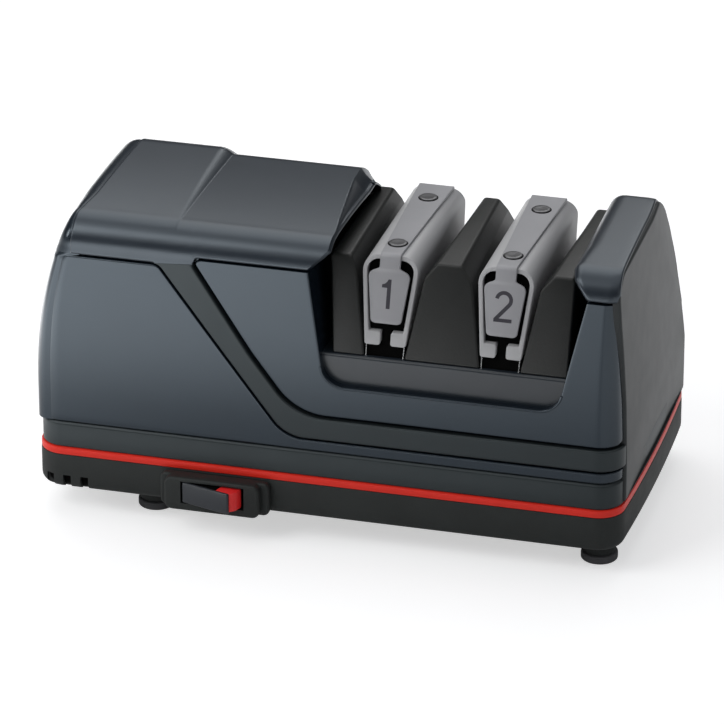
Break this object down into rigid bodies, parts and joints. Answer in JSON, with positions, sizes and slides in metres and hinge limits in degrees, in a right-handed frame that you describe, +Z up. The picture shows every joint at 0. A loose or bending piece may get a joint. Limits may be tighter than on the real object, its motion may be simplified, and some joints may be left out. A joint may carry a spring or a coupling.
{
  "type": "electric knife sharpener",
  "caption": "Long rounded housing on rubber feet with a saddle holding sprung knife guides, a rocker switch and a motor driven spindle with conical discs.",
  "frame": {"origin": "centre of the part's bounding box in plan, on the surface that its feet stand on", "axes": "+Z up, +X along the spindle towards the end with the thin tower, the user and the switch at -Y"},
  "size_m": [0.2004, 0.1166, 0.1115],
  "materials": {
    "gloss_black": "gloss moulded shell, satin raised bands",
    "satin_grey": "satin dark grey plastic",
    "matte_black": "fine matte black plastic",
    "stripe_red": "semi gloss red plastic trim",
    "foot_rubber": "matte black rubber",
    "rocker_red": "red plastic rocker core",
    "arch_grey": "light grey satin spring guide",
    "plate_grey": "grey painted sheet plate",
    "steel": "plain bright steel",
    "abrasive": "steel disc with diamond grit",
    "lamination": "stacked sheet steel",
    "copper": "taped copper winding",
    "bronze": "sintered bronze bush"
  },
  "bodies": {
    "housing": {"housing_shell": "gloss_black", "right_end_cap": "satin_grey", "stripe_trim": "stripe_red", "base_tray": "matte_black", "foot_pad_front_left": "foot_rubber", "foot_pad_front_right": "foot_rubber", "foot_pad_rear_right": "foot_rubber", "foot_pad_rear_left": "foot_rubber", "base_screw_front_left": "steel", "base_screw_front_right": "steel", "base_screw_rear_right": "steel", "base_screw_rear_left": "steel", "inlet_socket": "matte_black", "inlet_pin_left": "steel", "inlet_pin_right": "steel", "switch_bezel": "matte_black", "switch_body": "matte_black", "guide_bed": "satin_grey", "guide_block_left": "matte_black", "guide_block_middle": "matte_black", "guide_block_right": "matte_black", "guide_core_1": "matte_black", "guide_arch_1": "arch_grey", "guide_plate_1": "plate_grey", "guide_rivet_1_front": "steel", "guide_rivet_1_rear": "steel", "guide_core_2": "matte_black", "guide_arch_2": "arch_grey", "guide_plate_2": "plate_grey", "guide_rivet_2_front": "steel", "guide_rivet_2_rear": "steel", "spindle_bush": "bronze", "motor_stator": "lamination", "motor_coil": "copper", "motor_bracket_left": "steel", "motor_bearing_left": "bronze", "motor_bracket_right": "steel", "motor_bearing_right": "bronze", "motor_bolt_front": "steel", "motor_bolt_rear": "steel"},
    "spindle": {"spindle_shaft": "steel", "motor_rotor": "lamination", "motor_fan": "matte_black", "disc_spring_1": "steel", "drive_pin_1_left": "steel", "drive_pin_1_right": "steel", "disc_spring_2": "steel", "drive_pin_2_left": "steel", "drive_pin_2_right": "steel"},
    "disc_1_left": {"abrasive_disc_1_left": "abrasive"},
    "disc_1_right": {"abrasive_disc_1_right": "abrasive"},
    "disc_2_left": {"abrasive_disc_2_left": "abrasive"},
    "disc_2_right": {"abrasive_disc_2_right": "abrasive"},
    "rocker": {"rocker_cap": "satin_grey", "rocker_core": "rocker_red"}
  },
  "joints": [
    {"name": "spindle_spin", "type": "hinge", "parent": "housing", "child": "spindle", "pos_m": [-0.00003, -0.00329, 0.054], "axis": [1, 0, 0], "continuous": true},
    {"name": "disc_1_left_slide", "type": "slide", "parent": "spindle", "child": "disc_1_left", "axis": [1, 0, 0], "range_m": [0, 0.0008], "stiffness_N_per_m": 400},
    {"name": "disc_1_right_slide", "type": "slide", "parent": "spindle", "child": "disc_1_right", "axis": [-1, 0, 0], "range_m": [0, 0.0008], "stiffness_N_per_m": 400},
    {"name": "disc_2_left_slide", "type": "slide", "parent": "spindle", "child": "disc_2_left", "axis": [1, 0, 0], "range_m": [0, 0.0008], "stiffness_N_per_m": 400},
    {"name": "disc_2_right_slide", "type": "slide", "parent": "spindle", "child": "disc_2_right", "axis": [-1, 0, 0], "range_m": [0, 0.0008], "stiffness_N_per_m": 400},
    {"name": "rocker_tilt", "type": "hinge", "parent": "housing", "child": "rocker", "pos_m": [-0.03612, -0.04949, 0.01645], "axis": [0, 0, 1], "range_deg": [0, 32.8]}
  ]
}
